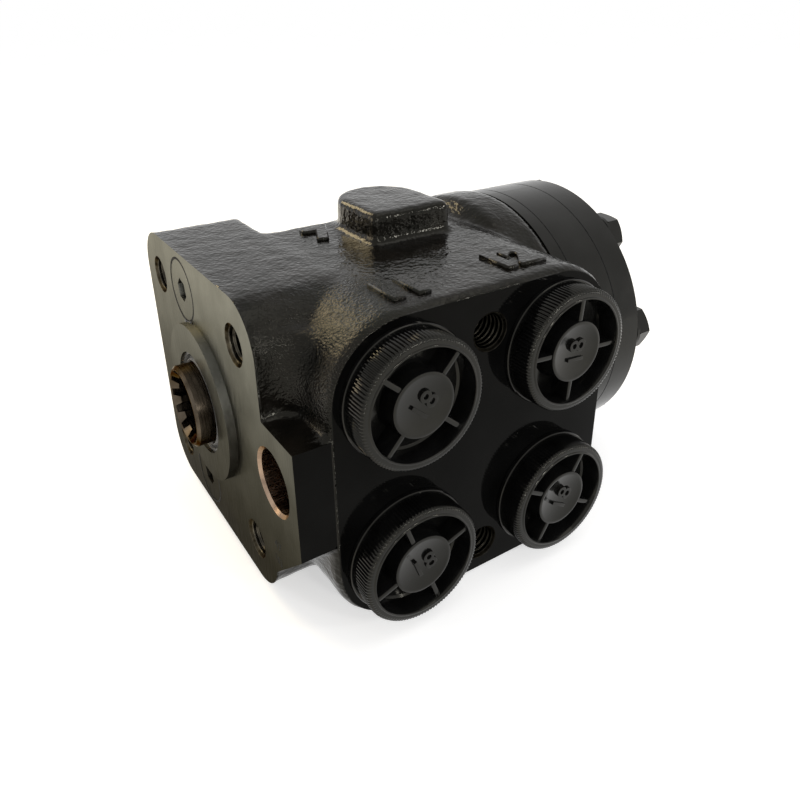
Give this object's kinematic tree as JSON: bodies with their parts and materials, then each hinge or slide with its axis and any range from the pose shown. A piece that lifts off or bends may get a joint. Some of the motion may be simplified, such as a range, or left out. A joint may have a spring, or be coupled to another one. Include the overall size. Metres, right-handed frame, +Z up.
{
  "type": "orbital steering unit",
  "caption": "Hydraulic orbital steering unit: cast valve housing with square mounting flange, spool and sleeve, cardan shaft, gerotor set, end cover and plugged ports.",
  "frame": {"origin": "on the shaft axis, at the machined mounting face", "axes": "+X along the shaft towards the end cover, ports face -Y, +Z up"},
  "size_m": [0.1429, 0.112, 0.0959],
  "materials": {
    "cast_black": "gloss black paint over an as-cast surface, machined front face bare",
    "painted_steel": "gloss black paint over turned steel",
    "painted_screw": "gloss black paint",
    "black_plastic": "gloss moulded",
    "ground_steel": "fine ground",
    "valve_steel": "turned",
    "bearing_steel": "polished",
    "spring_steel": "blued strip and wire",
    "grey_seal": "smooth",
    "black_rubber": "smooth"
  },
  "bodies": {
    "root": {"housing": "cast_black", "dust_seal": "grey_seal", "shaft_seal": "black_rubber", "bearing_outer_race": "bearing_steel", "distributor_plate": "painted_steel", "gear_ring": "painted_steel", "end_cover": "painted_steel", "face_seals": "black_rubber", "cover_screws": "painted_screw", "pin_screw": "painted_screw", "screw_washers": "painted_screw", "check_bushing": "valve_steel", "suction_pins": "valve_steel", "valve_plug_upper": "valve_steel", "valve_plug_lower": "valve_steel", "valve_spring_upper": "spring_steel", "valve_spring_lower": "spring_steel"},
    "needle_bearing": {"needle_cage": "bearing_steel", "thrust_needles": "bearing_steel"},
    "sleeve": {"control_sleeve": "ground_steel", "cross_pin": "ground_steel", "neutral_springs": "spring_steel", "spring_band": "spring_steel", "bearing_inner_race": "bearing_steel"},
    "spool": {"control_spool": "ground_steel"},
    "drive_orbit": {"drive_spacer": "ground_steel"},
    "rotor": {"rotor": "ground_steel"},
    "cardan": {"cardan_shaft": "ground_steel"},
    "upper_valve": {"valve_ball_upper": "bearing_steel"},
    "lower_valve": {"valve_ball_lower": "bearing_steel"},
    "check_valve": {"check_ball": "bearing_steel"},
    "suction_valve_1": {"suction_ball_1": "bearing_steel"},
    "suction_valve_2": {"suction_ball_2": "bearing_steel"},
    "plug_1": {"port_plug_1": "black_plastic"},
    "plug_2": {"port_plug_2": "black_plastic"},
    "plug_3": {"port_plug_3": "black_plastic"},
    "plug_4": {"port_plug_4": "black_plastic"}
  },
  "joints": [
    {"name": "sleeve_turn", "type": "hinge", "parent": "root", "child": "sleeve", "pos_m": [0.05, 0, 0], "axis": [1, 0, 0], "continuous": true},
    {"name": "spool_twist", "type": "hinge", "parent": "sleeve", "child": "spool", "pos_m": [0.05, 0, 0], "axis": [1, 0, 0], "range_deg": [-8, 8], "stiffness_Nm_per_rad": 0.5, "deforming": ["neutral_springs"]},
    {"name": "needle_turn", "type": "hinge", "parent": "root", "child": "needle_bearing", "pos_m": [0.01041, 0, 0], "axis": [1, 0, 0], "continuous": true},
    {"name": "rotor_orbit", "type": "hinge", "parent": "root", "child": "drive_orbit", "pos_m": [0.1113, 0, 0], "axis": [1, 0, 0], "continuous": true},
    {"name": "rotor_spin", "type": "hinge", "parent": "drive_orbit", "child": "rotor", "pos_m": [0.1113, -0.00278, -0.00113], "axis": [1, 0, 0], "continuous": true},
    {"name": "cardan_spin", "type": "hinge", "parent": "drive_orbit", "child": "cardan", "pos_m": [0.036, 0, 0], "axis": [0.9992, -0.0369, -0.015], "continuous": true},
    {"name": "upper_valve_lift", "type": "slide", "parent": "root", "child": "upper_valve", "axis": [-1, 0, 0], "range_m": [0, 0.0015], "stiffness_N_per_m": 50, "deforming": ["valve_spring_upper"]},
    {"name": "lower_valve_lift", "type": "slide", "parent": "root", "child": "lower_valve", "axis": [-1, 0, 0], "range_m": [0, 0.0015], "stiffness_N_per_m": 50, "deforming": ["valve_spring_lower"]},
    {"name": "check_lift", "type": "slide", "parent": "root", "child": "check_valve", "axis": [0, 1, 0], "range_m": [0, 0.002]},
    {"name": "suction_lift_1", "type": "slide", "parent": "root", "child": "suction_valve_1", "axis": [1, 0, 0], "range_m": [0, 0.0015]},
    {"name": "suction_lift_2", "type": "slide", "parent": "root", "child": "suction_valve_2", "axis": [1, 0, 0], "range_m": [0, 0.0015]},
    {"name": "plug_1_pull", "type": "slide", "parent": "root", "child": "plug_1", "axis": [0, -1, 0], "range_m": [0, 0.025]},
    {"name": "plug_2_pull", "type": "slide", "parent": "root", "child": "plug_2", "axis": [0, -1, 0], "range_m": [0, 0.025]},
    {"name": "plug_3_pull", "type": "slide", "parent": "root", "child": "plug_3", "axis": [0, -1, 0], "range_m": [0, 0.025]},
    {"name": "plug_4_pull", "type": "slide", "parent": "root", "child": "plug_4", "axis": [0, -1, 0], "range_m": [0, 0.025]}
  ],
  "couplings": [
    {"joint": "needle_turn", "follows": "sleeve_turn", "ratio": 0.5},
    {"joint": "rotor_orbit", "follows": "sleeve_turn", "ratio": -6},
    {"joint": "rotor_spin", "follows": "sleeve_turn", "ratio": 7},
    {"joint": "cardan_spin", "follows": "sleeve_turn", "ratio": 7}
  ]
}
